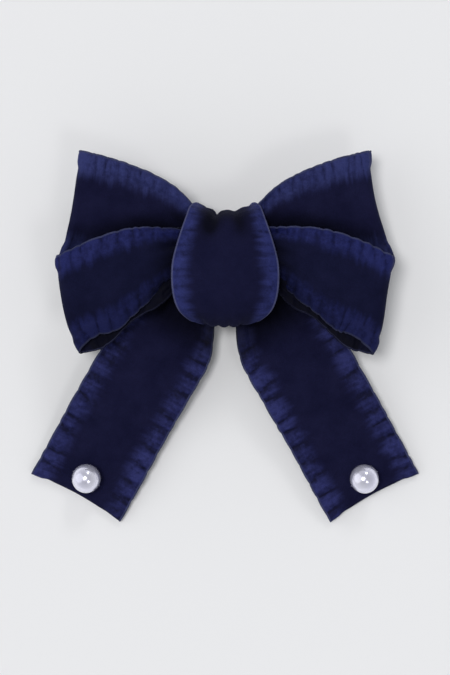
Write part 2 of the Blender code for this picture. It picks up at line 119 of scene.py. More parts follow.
def through(points, t, closed=False):
    """Points at times t (0..1) on a smooth curve through evenly timed points."""
    points = np.array(points, float)
    spans = len(points) if closed else len(points) - 1
    place = (t % 1.0) * spans if closed else np.clip(t, 0.0, 1.0) * spans
    i = np.minimum(place.astype(int), spans - 1)
    f = (place - i)[:, None]
    if closed:
        p0, p1, p2, p3 = (points[(i + k) % spans] for k in (-1, 0, 1, 2))
    else:
        padded = np.vstack([2 * points[0] - points[1], points, 2 * points[-1] - points[-2]])
        p0, p1, p2, p3 = (padded[i + k] for k in (0, 1, 2, 3))
    return 0.5 * (
        2 * p1
        + (p2 - p0) * f
        + (2 * p0 - 5 * p1 + 4 * p2 - p3) * f**2
        + (3 * p1 - p0 - 3 * p2 + p3) * f**3
    )


def lengths_along(points):
    steps = np.linalg.norm(np.diff(points, axis=0), axis=1)
    return np.concatenate([[0.0], np.cumsum(steps)])


def respaced(points, step):
    """The same path with its points an even step apart."""
    along = lengths_along(points[:, :3])
    count = max(int(along[-1] / step), 8)
    wanted = np.linspace(0.0, along[-1], count + 1)
    return np.stack([np.interp(wanted, along, column) for column in points.T], axis=1), wanted


def across_columns():
    """Places across the ribbon, -1..1, with columns on the velvet's and the selvedge's edges."""
    velvet = np.linspace(0.0, VELVET_EDGE, 15)
    satin = np.linspace(VELVET_EDGE, SELVEDGE_EDGE, 13)[1:]
    edge = np.linspace(SELVEDGE_EDGE, 1.0, 3)[1:]
    right = np.concatenate([velvet, satin, edge])
    return np.concatenate([-right[:0:-1], right])


COLUMNS = across_columns()


def column_materials():
    middle = np.abs((COLUMNS[1:] + COLUMNS[:-1]) / 2)
    return np.where(middle < VELVET_EDGE, VELVET, np.where(middle < SELVEDGE_EDGE, SATIN, EDGE))


def out_from_stitch():
    """0 at the velvet's edge and 1 at the ribbon's edge; 0 in the velvet."""
    return np.clip((np.abs(COLUMNS) - VELVET_EDGE) / (1.0 - VELVET_EDGE), 0.0, 1.0)


def normals_of(grid, closed):
    if closed:
        along = np.roll(grid, -1, axis=0) - np.roll(grid, 1, axis=0)
    else:
        along = np.gradient(grid, axis=0)
    across = np.gradient(grid, axis=1)
    normal = np.cross(along, across)
    return normal / np.maximum(np.linalg.norm(normal, axis=2, keepdims=True), 1e-9)


def puffs(rng, along, out, shortest, longest, slant):
    """Heights 0..1 of cloth puffed between creases that run from the stitch line to the edge."""
    marks = [-longest]
    while marks[-1] < along[-1] + longest:
        marks.append(marks[-1] + rng.uniform(shortest, longest))
    marks = np.array(marks)
    heights = rng.uniform(0.5, 1.0, len(marks))
    lean = rng.uniform(-slant, slant, len(marks))
    result = np.zeros((len(along), len(out)))
    for j, place in enumerate(out):
        edges = marks + lean * place
        i = np.clip(np.searchsorted(edges, along) - 1, 0, len(edges) - 2)
        w = (along - edges[i]) / (edges[i + 1] - edges[i])
        result[:, j] = np.clip(4 * w * (1 - w), 0.0, 1.0) ** 0.6 * heights[i]
    return result


def wrinkles(rng, along, out, wavelength):
    """Fine cross-wise wrinkles, -1..1, that drift in spacing along the ribbon."""
    drift = np.cumsum(rng.normal(0.0, 0.25, len(along)))
    drift = np.convolve(drift, np.ones(9) / 9, mode="same")
    phase = along[:, None] * (2 * math.pi / wavelength) + drift[:, None]
    lean = rng.uniform(-1.0, 1.0)
    second = along[:, None] * (2 * math.pi / (wavelength * 0.62)) - 0.6 * drift[:, None]
    return 0.65 * np.sin(phase + lean * out) + 0.35 * np.sin(second - lean * out)


def frill(rng, along, puff_height, wrinkle_height, shortest=3.0, longest=6.2):
    """Both frills: height along the normal, the edge's draw inwards, and 0 in creases to 1 on puffs, which
    sets painted shade in the creases and a painted highlight on the puffs.
    """
    out = out_from_stitch()
    rise = np.zeros((len(along), len(COLUMNS)))
    draw = np.zeros_like(rise)
    full = np.ones_like(rise)
    for side in (-1, 1):
        mask = COLUMNS * side > VELVET_EDGE
        here = out[mask]
        puff = puffs(rng, along, here, shortest, longest, 1.3)
        fine = wrinkles(rng, along, here, 1.5)
        finer = wrinkles(rng, along, here, 0.95)
        swell = ease(here / 0.45) * (1.0 - 0.3 * ease((here - 0.7) / 0.3))
        near_stitch = ease(here / 0.12) * (1.0 - 0.6 * here)
        rise[:, mask] += puff_height * puff * swell
        rise[:, mask] += wrinkle_height * (0.7 * fine * swell + 0.5 * finer * near_stitch)
        draw[:, mask] += -side * 0.3 * (1.0 - puff) * here**2
        full[:, mask] = np.clip(puff + 0.12 * fine, 0.0, 1.0)
        inside = (COLUMNS * side > 0) & ~mask
        first = np.flatnonzero(mask)[0 if side > 0 else -1]
        full[:, inside] = full[:, first][:, None]
    return rise, draw, full


def velvet_relief():
    """Pile that stands a little above the frills on both sides of the velvet."""
    place = np.abs(COLUMNS) / VELVET_EDGE
    pile = 0.18 * ease((1.15 - place) / 0.45)
    bead = 0.10 * ((np.abs(COLUMNS) > SELVEDGE_EDGE) & (np.abs(COLUMNS) < 0.999))
    return pile + bead


def cloth_object(name, grid, along, full, painted_shade, closed, materials, thickness=CLOTH):
    """Mesh of a ribbon from its grid of points in mm, with its weave's UVs and real thickness."""
    rows, columns, _ = grid.shape
    index = np.arange(rows * columns).reshape(rows, columns)
    near = index if closed else index[:-1]
    far = np.roll(index, -1, axis=0) if closed else index[1:]
    faces = np.stack([near[:, :-1], far[:, :-1], far[:, 1:], near[:, 1:]], axis=2).reshape(-1, 4)
    mesh = bpy.data.meshes.new(name)
    mesh.from_pydata((grid.reshape(-1, 3) * MM).tolist(), [], faces.tolist())
    kinds = np.tile(column_materials(), len(near))
    mesh.polygons.foreach_set("material_index", kinds.astype(np.int32))
    uv = mesh.uv_layers.new(name="weave")
    v = np.tile(COLUMNS * RIBBON_HALF * MM, rows)
    u = np.repeat(along * MM, columns)
    corner = np.zeros(len(mesh.loops), np.int32)
    mesh.loops.foreach_get("vertex_index", corner)
    uv.data.foreach_set("uv", np.stack([u[corner], v[corner]], axis=1).astype(np.float32).ravel())
    # Two painted-light attributes: the first darkens the satin's creases and lightens its puffs, the second
    # paints shade into folds and under overlapping layers.
    for key, values in (("puff", full), ("painted_shade", painted_shade)):
        layer = mesh.attributes.new(key, "FLOAT", "POINT")
        layer.data.foreach_set("value", np.clip(values, 0.0, 1.0).astype(np.float32).ravel())
    for material in materials:
        mesh.materials.append(material)
    mesh.shade_smooth()
    item = bpy.data.objects.new(name, mesh)
    bpy.context.scene.collection.objects.link(item)
    solid = item.modifiers.new("Thickness", "SOLIDIFY")
    solid.thickness = thickness * MM
    solid.offset = 0.0
    solid.material_offset = BACKING
    solid.material_offset_rim = 1
    return item


# ---------------------------------------------------------------- materials


class Nodes:
    """Short way to write a node tree."""

    def __init__(self, name):
        self.material = bpy.data.materials.new(name)
        self.material.use_nodes = True
        self.tree = self.material.node_tree
        self.shader = self.tree.nodes["Principled BSDF"]

    def add(self, kind, **inputs):
        node = self.tree.nodes.new(kind)
        for key, value in inputs.items():
            self.set(node, key, value)
        return node

    def set(self, node, key, value):
        socket = node.inputs[key.replace("_", " ")] if isinstance(key, str) else node.inputs[key]
        if isinstance(value, bpy.types.NodeSocket):
            self.tree.links.new(value, socket)
        else:
            socket.default_value = value

    def coords(self, kind, scale):
        source = self.add("ShaderNodeTexCoord")
        mapping = self.add("ShaderNodeMapping")
        self.set(mapping, "Vector", source.outputs[kind])
        self.set(mapping, "Scale", scale)
        return mapping.outputs[0]

    def noise(self, scale, detail=3.0, roughness=0.55, vector=None):
        node = self.add("ShaderNodeTexNoise", Scale=scale, Detail=detail, Roughness=roughness)
        self.set(node, "Vector", vector or self.coords("Object", (1.0, 1.0, 1.0)))
        return node.outputs["Fac"]

    def ramp(self, factor, stops):
        node = self.add("ShaderNodeValToRGB", Fac=factor)
        band = node.color_ramp
        while len(band.elements) < len(stops):
            band.elements.new(0.5)
        for element, (place, colour) in zip(band.elements, stops):
            element.position = place
            element.color = (*colour, 1.0)
        return node.outputs["Color"]

    def blend(self, factor, first, second, kind="MIX"):
        node = self.tree.nodes.new("ShaderNodeMix")
        node.data_type = "RGBA"
        node.blend_type = kind
        self.set(node, 0, factor)
        for key, value in ((6, first), (7, second)):
            if isinstance(value, tuple):
                value = (*value, 1.0)
            self.set(node, key, value)
        return node.outputs[2]

    def maths(self, operation, first, second=0.5):
        node = self.tree.nodes.new("ShaderNodeMath")
        node.operation = operation
        self.set(node, 0, first)
        self.set(node, 1, second)
        return node.outputs[0]

    def bump(self, height, strength, distance, under=None):
        node = self.add("ShaderNodeBump", Strength=strength, Distance=distance, Height=height)
        if under is not None:
            self.set(node, "Normal", under)
        return node.outputs[0]

    def finish(self, **inputs):
        for key, value in inputs.items():
            self.set(self.shader, key, value)
        return self.material


def painted_fold_shade(n):
    """Painted shade: darker colour where the cloth's shade attribute is high, in folds, under overlapping
    layers and beside the knot.
    """
    painted_shade = n.add("ShaderNodeAttribute")
    painted_shade.attribute_name = "painted_shade"
    return n.ramp(painted_shade.outputs["Fac"], ((0.0, (1.0, 1.0, 1.0)), (1.0, (0.24, 0.24, 0.24))))


def ribbon_face(name, velvet, satin, frill_width):
    """Velvet in the middle that turns, along a ragged line of gathers, into ruched satin edges; the satin
    has painted shade in its creases and a painted highlight on its puffs, and the whole face has painted
    shade in folds.
    """
    n = Nodes(name)
    weave = n.add("ShaderNodeSeparateXYZ")
    n.set(weave, 0, n.coords("UV", (1.0, 1.0, 1.0)))
    across = n.maths("ABSOLUTE", weave.outputs[1])
    teeth = n.noise(1.0, 2.0, 0.6, n.coords("UV", (620.0, 60.0, 1.0)))
    ragged = n.maths("ADD", across, n.maths("MULTIPLY", n.maths("SUBTRACT", teeth, 0.5), RAGGED * MM))
    edge = n.add("ShaderNodeMapRange")
    edge.interpolation_type = "SMOOTHSTEP"
    n.set(edge, "Value", ragged)
    n.set(edge, "From Min", (RIBBON_HALF - frill_width - BORDER_IN) * MM)
    n.set(edge, "From Max", (RIBBON_HALF - frill_width + BORDER_OUT) * MM)
    share = edge.outputs[0]
    patches = n.noise(150.0, 3.0, 0.6)
    fuzz = n.noise(3600.0, 2.0, 0.7)
    pile = n.ramp(patches, ((0.32, velvet[0]), (0.70, velvet[1])))
    # Painted light: the puff attribute, with random mottle, darkens the satin in its creases and lightens
    # it on its puffs.
    puff = n.add("ShaderNodeAttribute")
    puff.attribute_name = "puff"
    blotch = n.noise(700.0, 3.0, 0.6)
    mottle = n.maths("MULTIPLY", n.maths("SUBTRACT", blotch, 0.5), 1.3)
    fullness = n.maths("ADD", puff.outputs["Fac"], mottle)
    satin_mottle_and_painted_light = n.ramp(fullness, ((0.18, satin[0]), (0.55, satin[1]), (0.95, satin[2])))
    speckle = n.ramp(fuzz, ((0.25, (0.70, 0.70, 0.70)), (0.75, (1.28, 1.28, 1.28))))
    cloth = n.blend(0.8, n.blend(share, pile, satin_mottle_and_painted_light), speckle, "MULTIPLY")
    # Painted shade multiplied in where the cloth lies in folds, under overlapping layers and beside the
    # knot.
    colour = n.blend(1.0, cloth, painted_fold_shade(n), "MULTIPLY")
    roughness = n.blend(share, (0.95, 0.95, 0.95), (0.62, 0.62, 0.62))
    height = n.maths("ADD", fuzz, n.maths("MULTIPLY", blotch, 1.6))
    return n.finish(
        Base_Color=colour,
        Roughness=roughness,
        Specular_IOR_Level=0.07,
        Sheen_Weight=0.035,
        Sheen_Roughness=0.4,
        Sheen_Tint=(0.45, 0.5, 1.0, 1.0),
        Normal=n.bump(height, 0.5, 0.00022),
    )


def satin(name, deep, lit, roughness):
    """Plain satin side: fine cross-wise grain and faint blotches, with painted shade in folds."""
    n = Nodes(name)
    patches = n.noise(420.0, 3.0, 0.6)
    grain = n.noise(1.0, 2.0, 0.6, n.coords("UV", (2600.0, 700.0, 1.0)))
    tone = n.maths("ADD", n.maths("MULTIPLY", patches, 0.6), n.maths("MULTIPLY", grain, 0.4))
    # Random tone from the blotches and grain, times painted shade.
    colour = n.blend(1.0, n.ramp(tone, ((0.34, deep), (0.64, lit))), painted_fold_shade(n), "MULTIPLY")
    uneven = n.ramp(patches, ((0.3, (roughness - 0.08,) * 3), (0.7, (roughness + 0.1,) * 3)))
    return n.finish(
        Base_Color=colour,
        Roughness=uneven,
        Specular_IOR_Level=0.08,
        Sheen_Weight=0.03,
        Sheen_Roughness=0.35,
        Sheen_Tint=(0.55, 0.6, 1.0, 1.0),
        Normal=n.bump(grain, 0.3, 0.0001),
    )


# Colours of one navy ribbon. Each satin's three stops run from painted crease shade through the middle tone
# to a painted highlight on the puffs. The back pair's satin is painted lighter, the front pair's velvet and
# satin darker, and the knot's satin lighter, for how light falls on each piece. The selvedges are lighter
# partly as a painted highlight on the edge, the knot's most of all.
NAVY_PILE = ((0.0050, 0.0053, 0.0240), (0.0086, 0.0090, 0.0350))
NAVY_SATIN = ((0.0045, 0.0050, 0.0250), (0.0120, 0.0140, 0.0660), (0.0230, 0.0270, 0.1150))
SELVEDGE_TONE_AND_PAINTED_HIGHLIGHT = ((0.024, 0.028, 0.074), (0.044, 0.050, 0.120))
BACK_SATIN_PAINTED_LIGHTER = ((0.0060, 0.0072, 0.0330), (0.0152, 0.0187, 0.0790), (0.0265, 0.0330, 0.1260))
FRONT_PILE_PAINTED_DARKER = ((0.0042, 0.0050, 0.0225), (0.0072, 0.0082, 0.0330))
FRONT_SATIN_PAINTED_DARKER = ((0.0038, 0.0047, 0.0280), (0.0072, 0.0094, 0.0600), (0.0150, 0.0195, 0.1050))
KNOT_SELVEDGE_PAINTED_HIGHLIGHT = ((0.050, 0.055, 0.125), (0.075, 0.082, 0.175))
KNOT_PILE = ((0.0052, 0.0056, 0.0250), (0.0080, 0.0084, 0.0335))
KNOT_SATIN_PAINTED_LIGHTER = ((0.0075, 0.0090, 0.0430), (0.0165, 0.0210, 0.0960), (0.0240, 0.0300, 0.1320))


def ribbon_materials(name, pile, ruched, frill_width, selvedge):
    face = ribbon_face(name + "_face", pile, ruched, frill_width)
    edge = satin(name + "_selvedge", selvedge[0], selvedge[1], 0.65)
    # The reverse's dark navy, darkened partly as painted shade for the insides of the loops.
    back = satin(name + "_backing", (0.0042, 0.0048, 0.0235), (0.0072, 0.0083, 0.0360), 0.75)
    return [face, face, edge, back, back, edge]


def thread_material(name, deep, lit):
    n = Nodes(name)
    twist = n.add("ShaderNodeTexWave", Scale=900.0, Distortion=1.0, Detail=1.0)
    n.set(twist, "Vector", n.coords("Object", (1.0, 1.0, 1.0)))
    fuzz = n.noise(5000.0)
    colour = n.ramp(fuzz, ((0.3, deep), (0.7, lit)))
    return n.finish(
        Base_Color=colour,
        Roughness=0.7,
        Sheen_Weight=0.2,
        Normal=n.bump(twist.outputs["Fac"], 0.5, 0.00012),
    )


def pearl_material():
    """Lustrous bead: a faint lilac cloud under a clear coat."""
    n = Nodes("pearl_lustre")
    cloud = n.noise(260.0, 2.0, 0.5)
    return n.finish(
        Base_Color=n.ramp(cloud, ((0.3, (0.72, 0.72, 0.88)), (0.7, (0.84, 0.84, 0.97)))),
        Metallic=0.62,
        Roughness=0.20,
        Coat_Weight=1.0,
        Coat_Roughness=0.04,
        Coat_IOR=1.65,
        Normal=n.bump(n.noise(1500.0, 2.0, 0.5), 0.04, 0.0001),
    )


def steel(name, colour, roughness, grain):
    """Plated steel strip with fine drawn lines along its length and faint handling marks."""
    n = Nodes(name)
    lines = n.noise(grain, 3.0, 0.6, n.coords("Object", (0.05, 1.0, 1.0)))
    marks = n.noise(300.0, 4.0, 0.65)
    tint = n.ramp(marks, ((0.35, tuple(0.86 * c for c in colour)), (0.65, colour)))
    wear = n.maths("ADD", n.maths("MULTIPLY", marks, 0.5), n.maths("MULTIPLY", lines, 0.5))
    rough = n.ramp(wear, ((0.35, (roughness - 0.07,) * 3), (0.65, (roughness + 0.09,) * 3)))
    return n.finish(
        Base_Color=tint,
        Metallic=1.0,
        Roughness=rough,
        Normal=n.bump(lines, 0.12, 0.00005),
    )


# ---------------------------------------------------------------- loops

# Edges of the right-hand loops in plan, from the middle outwards in even steps
UPPER_TOP = ((0, 9.8), (6.5, 13.2), (12.8, 19.2), (19.0, 22.9), (25.2, 25.4), (31.3, 27.3), (37.0, 28.7))
UPPER_BOTTOM = ((0, -2.2), (7.2, -2.2), (14.6, -2.0), (22.0, -1.6), (29.3, -1.0), (36.4, -0.3), (43.3, 0.5))
LOWER_TOP = ((0, 8.1), (7.4, 8.5), (14.8, 8.8), (22.1, 8.5), (29.3, 7.2), (36.5, 4.9), (43.6, 1.3))
LOWER_BOTTOM = (
    (0, -2.9),
    (4.8, -3.0),
    (9.6, -3.4),
    (14.4, -5.4),
    (19.0, -9.6),
    (23.6, -13.6),
    (28.2, -17.6),
    (32.8, -18.9),
    (37.3, -22.6),
)
LAYER_POINTS = 120
FOLD_POINTS = 40
UPPER_PINCH_Z = 12.3
LOWER_PINCH_DROP = 8.2


class Loops:
    """One closed ribbon that makes a left and a right loop, pinched in the middle.

    Its outer fold bows out by bulge, more so low down with skew, and blunt rounds its top corner.
    """

    def __init__(self, node, seed, edges, layers, gather, bulge, skew=0.0, blunt=0.0):
        self.name = node
        self.reach = box_mm(node)[1][0] - 0.3
        self.rng = np.random.default_rng(seed)
        self.top, self.bottom = edges
        self.front, self.back = layers
        self.gather = gather
        self.bulge = bulge
        self.skew = skew
        self.blunt = blunt

    def outline(self):
        """Middle line of the ribbon all the way round: x, 0, z, then 1 in front and 0 behind."""
        t = np.linspace(0.0, 1.0, LAYER_POINTS)
        front_end, back_end = self.front(np.ones(1))[0], self.back(np.ones(1))[0]
        radius = (front_end - back_end) / 2
        flat = self.reach - radius
        angle = np.linspace(math.pi / 2, -math.pi / 2, FOLD_POINTS)[1:-1]
        x = np.concatenate([flat * t, flat + radius * np.cos(angle), flat * t[::-1]])
        turn = (front_end + back_end) / 2 + radius * np.sin(angle)
        z = np.concatenate([self.front(t), turn, self.back(t)[::-1]])
        fold = 0.5 + 0.5 * np.sin(angle)
        layer = np.concatenate([np.ones(LAYER_POINTS), fold, np.zeros(LAYER_POINTS)])
        half = np.stack([x, 0 * x, z, layer], axis=1)
        other = half[::-1].copy()
        other[:, 0] *= -1
        return np.vstack([half, other[1:-1]])

    def grid(self):
        path, along = respaced(self.outline(), ROW_STEP)
        path, self.along = path[:-1], along[:-1]
        self.length = along[-1]
        x, z, self.layer = path[:, 0], path[:, 2], path[:, 3]
        self.side = np.sign(x)
        self.t = np.abs(x) / self.reach
        top = through(self.top, self.t)
        bottom = through(self.bottom, self.t)
        bottom[:, 1] -= (1.0 - self.layer) * self.hang(self.t)
        share = (COLUMNS[None, :, None] + 1.0) / 2
        plan = mix(bottom[:, None, :], top[:, None, :], share)
        bow_out = self.bulge * (1.0 - COLUMNS**2) * (1.0 - self.skew * COLUMNS)
        bow_out = bow_out - self.blunt * np.maximum(COLUMNS, 0.0) ** 14
        plan[:, :, 0] += ease((self.t[:, None] - 0.6) / 0.4) * bow_out[None, :]
        across = top - bottom
        across = across / np.linalg.norm(across, axis=1, keepdims=True)
        self.across = np.column_stack([self.side * across[:, 0], across[:, 1], 0 * x])
        grid = np.zeros((len(x), len(COLUMNS), 3))
        grid[:, :, 0] = self.side[:, None] * plan[:, :, 0]
        grid[:, :, 1] = plan[:, :, 1]
        grid[:, :, 2] = z[:, None]
        return grid

    def hang(self, t):
        """How much lower than the front layer's the back layer's bottom edge lies."""
        return 0.0 * t

    def build(self, materials):
        """Cloth with the front layer's swell, its frills and pleats, and painted shade in its folds, under
        overlapping layers and beside the knot.
        """
        grid = self.grid()
        t, layer = self.t[:, None], self.layer[:, None]
        v = COLUMNS[None, :]
        grid[:, :, 2] += layer * self.swell(t, v)
        normal = normals_of(grid, True)
        rise, draw, full = frill(self.rng, self.along, 0.6, 0.14, 2.2, 4.8)
        calm = ease((t - 0.1) / 0.25)
        near_knot = bell(t, 0.22, 0.2)
        phase = self.side[:, None] * 0.7 + layer * 1.1
        pleats = np.cos(2 * math.pi * 1.45 * v + phase) + 0.5 * np.cos(2 * math.pi * 2.6 * v - 2 * phase)
        wave = 0.35 * np.sin(self.along[:, None] * 0.23 + 2.2 * v) * ease((t - 0.3) / 0.3)
        height = rise * (0.35 + 0.65 * calm) + velvet_relief()[None, :]
        height = height + self.gather * near_knot * pleats + wave
        grid = grid + normal * height[:, :, None]
        grid = grid + self.across[:, None, :] * draw[:, :, None]
        # Painted shade for the folds, the overlaps and the knot's side.
        painted_shade = self.painted_shade(t, v, layer)
        # Softer painted crease shade on the loops, and a painted highlight on the puffs that grows towards
        # their outer ends.
        full = mix(0.42, 0.86 + 0.34 * ease((t - 0.55) / 0.3), full)
        return cloth_object(self.name + "_cloth", grid, self.along, full, painted_shade, True, materials)


class UpperLoops(Loops):
    """Back pair: the front layer dives behind the front pair's top edge."""

    def hidden(self, t):
        """Place across the ribbon where the front pair's top edge crosses it."""
        return mix(-0.05, -0.75, ease((t - 0.25) / 0.75))

    def swell(self, t, v):
        tuck = -3.0 * (1.0 - ease((v - self.hidden(t) + 0.05) / 0.55))
        return (1.6 * v + tuck) * ease(t / 0.35) * (1.0 - 0.5 * ease((t - 0.9) / 0.1))

    def painted_shade(self, t, v, layer):
        # Painted shade: dark along the strip under the front pair's top edge, less so outwards, and beside
        # the knot.
        along_fold = (1.0 - ease((v - self.hidden(t) - 0.05) / 0.42)) * (1.0 - 0.5 * ease((t - 0.6) / 0.35))
        at_knot = (1.0 - ease((t - 0.22) / 0.22)) * (1.0 - ease((v - 0.25) / 0.45))
        return np.maximum(along_fold, at_knot)


class LowerLoops(Loops):
    """Front pair: rounded over, so that the lower half faces down; the back layer hangs lower."""

    def hang(self, t):
        return 1.6 + 2.4 * bell(t, 0.42, 0.12) + 2.5 * bell(t, 0.86, 0.09)

    def swell(self, t, v):
        open_end = 1.0 - 0.5 * ease((t - 0.9) / 0.1)
        crown = (0.9 - 2.6 * (v - 0.3) ** 2) * np.sin(math.pi / 2 * np.clip(t / 0.5, 0, 1)) * open_end
        below = ease((-v - 0.5) / 0.5)
        ripple = 0.7 * np.sin(2 * math.pi * (2.1 * t + 0.15)) * below * ease((t - 0.25) / 0.2)
        roll = -2.6 * below * ease((t - 0.15) / 0.15) * (1.0 - ease((t - 0.5) / 0.3))
        under_band = -1.4 * bell(t, 0.26, 0.09) * ease((v + 0.1) / 0.5)
        return crown + ripple + roll + under_band - 1.1 * self.small_fold(t, v)

    def small_fold(self, t, v):
        """Narrow pleat just inside the bottom edge, beside the knot."""
        return bell(v, -0.84, 0.075) * ease((t - 0.27) / 0.05) * (1.0 - ease((t - 0.41) / 0.09))

    def painted_shade(self, t, v, layer):
        # Painted shade: dark beside the knot, on the lower half that faces down, along the bottom edge, on
        # the back layer seen through the opening with its selvedge left lighter, and in the small fold; the
        # 0.14 darkens the whole pair a little.
        at_knot = (1.0 - ease((t - 0.28) / 0.24)) * (1.0 - ease((v - 0.05) / 0.5)) * 0.85
        beneath = ease((-v - 0.35) / 0.5) * (1.0 - ease((t - 0.45) / 0.4)) * 0.75
        along_edge = 0.5 * ease((-v - 0.45) / 0.3)
        behind = (1.0 - layer) * (1.0 - ease((t - 0.88) / 0.1)) * (1.0 - 0.75 * (v < -SELVEDGE_EDGE))
        fold = layer * self.small_fold(t, v)
        folds = np.stack(np.broadcast_arrays(at_knot, beneath, along_edge, behind, fold))
        return 0.14 + 0.86 * np.max(folds, axis=0)


def heights(pinched, flat, over, bulge=0.0):
    """Height of one layer of a loop as a function of how far out it is, 0..1.

    It goes from pinched to flat over the given share of the way, and bulge is added half way out.
    """

    def height(t):
        return mix(pinched, flat, ease(t / over)) + bulge * np.sin(math.pi * ease(t))

    return height


def upper_loops():
    low, high = box_mm("upper_loop_ribbon")
    front = heights(UPPER_PINCH_Z, high[2] - 0.8, 0.4, 0.4)
    back = heights(low[2] + 0.4, low[2] + 1.0, 0.4)
    edges = (UPPER_TOP, UPPER_BOTTOM)
    layers = (front, back)
    return UpperLoops("upper_loop_ribbon", 11, edges, layers, gather=0.45, bulge=-1.1)


def lower_loops():
    low, high = box_mm("lower_loop_ribbon")
    front = heights(high[2] - LOWER_PINCH_DROP, high[2] - 2.0, 0.6, 1.1)
    back = heights(low[2] + 0.4, low[2] + 4.0, 0.36)
    edges = (LOWER_TOP, LOWER_BOTTOM)
    layers = (front, back)
    return LowerLoops("lower_loop_ribbon", 23, edges, layers, gather=0.7, bulge=0.75, skew=1.9, blunt=0.9)


# ---------------------------------------------------------------- tails

# Middle line of the left tail in plan, from the pinch to the hem
TAIL_LINE = (
    (-2.4, 1.6),
    (-10.4, -5.4),
    (-12.6, -14.2),
    (-17.2, -22.8),
    (-22.5, -31.9),
    (-27.9, -41.3),
    (-33.3, -51.1),
    (-38.7, -60.9),
)
HEM = 9.0
HEM_DROP = 1.2
PEARL_INSET = 5.5
TAIL_PINCH_HALF = 3.8
TAIL_POINTS = 240
HEM_FOLD_POINTS = 14
HEM_POINTS = 24
TAIL_PLEATS = ((-0.72, 0.09), (-0.42, 0.07), (-0.14, 0.08), (0.12, 0.06), (0.40, 0.08), (0.70, 0.07))


class Tail:
    """One tail: from the pinch down to its folded hem. Modelled on the left, mirrored for the right."""

    def __init__(self, node, seed, mirrored):
        low, high = box_mm(node)
        self.name = node
        self.pinch_z = high[2] - 0.4
        self.end_z = low[2] + 1.6
        self.rng = np.random.default_rng(seed)
        self.mirrored = mirrored

    def middle(self, t):
        plan = through(TAIL_LINE, t)
        z = mix(self.end_z, self.pinch_z, np.sin(math.pi / 2 * np.minimum((1.0 - t) / 0.9, 1.0)))
        return np.column_stack([plan, z])

    def path(self):
        """Middle line with the fold and the hem: x, y, z, then how far along the front it is, 0..1."""
        t = np.linspace(0.0, 1.0, TAIL_POINTS)
        front = self.middle(t)
        length = lengths_along(front)[-1]
        along = front[-1] - front[-2]
        along = along / np.linalg.norm(along)
        down = np.cross(np.array([-along[1], along[0], 0.0]), along)
        down = down / np.linalg.norm(down)
        down = down if down[2] < 0 else -down
        centre = front[-1] + down * HEM_DROP / 2
        angle = np.linspace(0.0, math.pi, HEM_FOLD_POINTS)[1:-1, None]
        fold = centre - down * HEM_DROP / 2 * np.cos(angle) + along * HEM_DROP / 2 * np.sin(angle)
        back_t = 1.0 - np.linspace(0.0, HEM, HEM_POINTS) / length
        hem = self.middle(back_t) + down * HEM_DROP
        path = np.vstack([front, fold, hem])
        place = np.concatenate([t, np.full(len(fold), 1.0), back_t])
        layer = np.concatenate([np.ones(len(t)), np.linspace(1, 0, len(fold)), np.zeros(len(hem))])
        return np.column_stack([path, place, layer]), length

    def grid(self):
        raw, self.length = self.path()
        path, self.along = respaced(raw, ROW_STEP)
        self.t, self.layer = path[:, 3], path[:, 4]
        forward = self.middle(np.clip(self.t + 0.004, 0, 1)) - self.middle(np.clip(self.t - 0.004, 0, 1))
        forward[:, 2] = 0.0
        forward = forward / np.linalg.norm(forward, axis=1, keepdims=True)
        self.forward = forward
        self.across = np.column_stack([-forward[:, 1], forward[:, 0], 0 * self.t])
        half = mix(TAIL_PINCH_HALF, RIBBON_HALF, ease((self.t - 0.07) / 0.34))
        return path[:, None, :3] + self.across[:, None, :] * (COLUMNS[None, :] * half[:, None])[:, :, None]

    def build(self, materials):
        grid = self.grid()
        normal = normals_of(grid, False)
        t, v = self.t[:, None], COLUMNS[None, :]
        rise, draw, full = frill(self.rng, self.along, 0.85, 0.15, 3.4, 6.6)
        near_knot = 1.0 - ease((t - 0.12) / 0.34)
        pleats = creases(v, TAIL_PLEATS)
        flat_hem = 1.0 - 0.75 * ease((t - 0.86) / 0.1)
        inset = 1.0 - PEARL_INSET / self.length
        from_pearl = np.hypot((t - inset) * self.length, v * RIBBON_HALF)
        dimple = -0.55 * bell(from_pearl, 0.0, 3.6) * self.layer[:, None]
        wave = 0.4 * np.sin(self.along[:, None] * 0.19 + 1.7 * v) * ease((t - 0.35) / 0.2) * flat_hem
        height = rise * (0.3 + 0.7 * flat_hem) + velvet_relief()[None, :]
        height = np.where(self.layer[:, None] > 0.5, height, 0.25 * height)
        height = height - 0.9 * near_knot * pleats + dimple + wave
        grid = grid + normal * height[:, :, None]
        grid = grid + self.across[:, None, :] * draw[:, :, None]
        hollow = 1.2 * (1.0 - v**2) * ease((t - 0.88) / 0.12)
        grid = grid - self.forward[:, None, :] * hollow[:, :, None]
        if self.mirrored:
            grid = grid[:, ::-1, :] * np.array([-1.0, 1.0, 1.0])
            full = full[:, ::-1]
        # Painted shade where the tail runs out from under the knot.
        painted_shade = (1.0 - ease((t - 0.28) / 0.14)) + 0.0 * v
        return cloth_object(self.name + "_cloth", grid, self.along, full, painted_shade, False, materials)


# ---------------------------------------------------------------- knot band

BAND_POINTS = 900
BAND_RUN_HALF = 5.4
BAND_LOW_PLEATS = ((-0.50, 0.09), (-0.12, 0.07), (0.22, 0.09), (0.58, 0.08))
BAND_BACK_PLEATS = ((-0.8, 0.1), (-0.38, 0.14), (0.12, 0.1), (0.55, 0.13))


def creases(v, marks):
    """Narrow valleys across the ribbon, each at a place and of a width, 0 outside and 1 at the bottom."""
    return sum(bell(v, place, width) for place, width in marks)


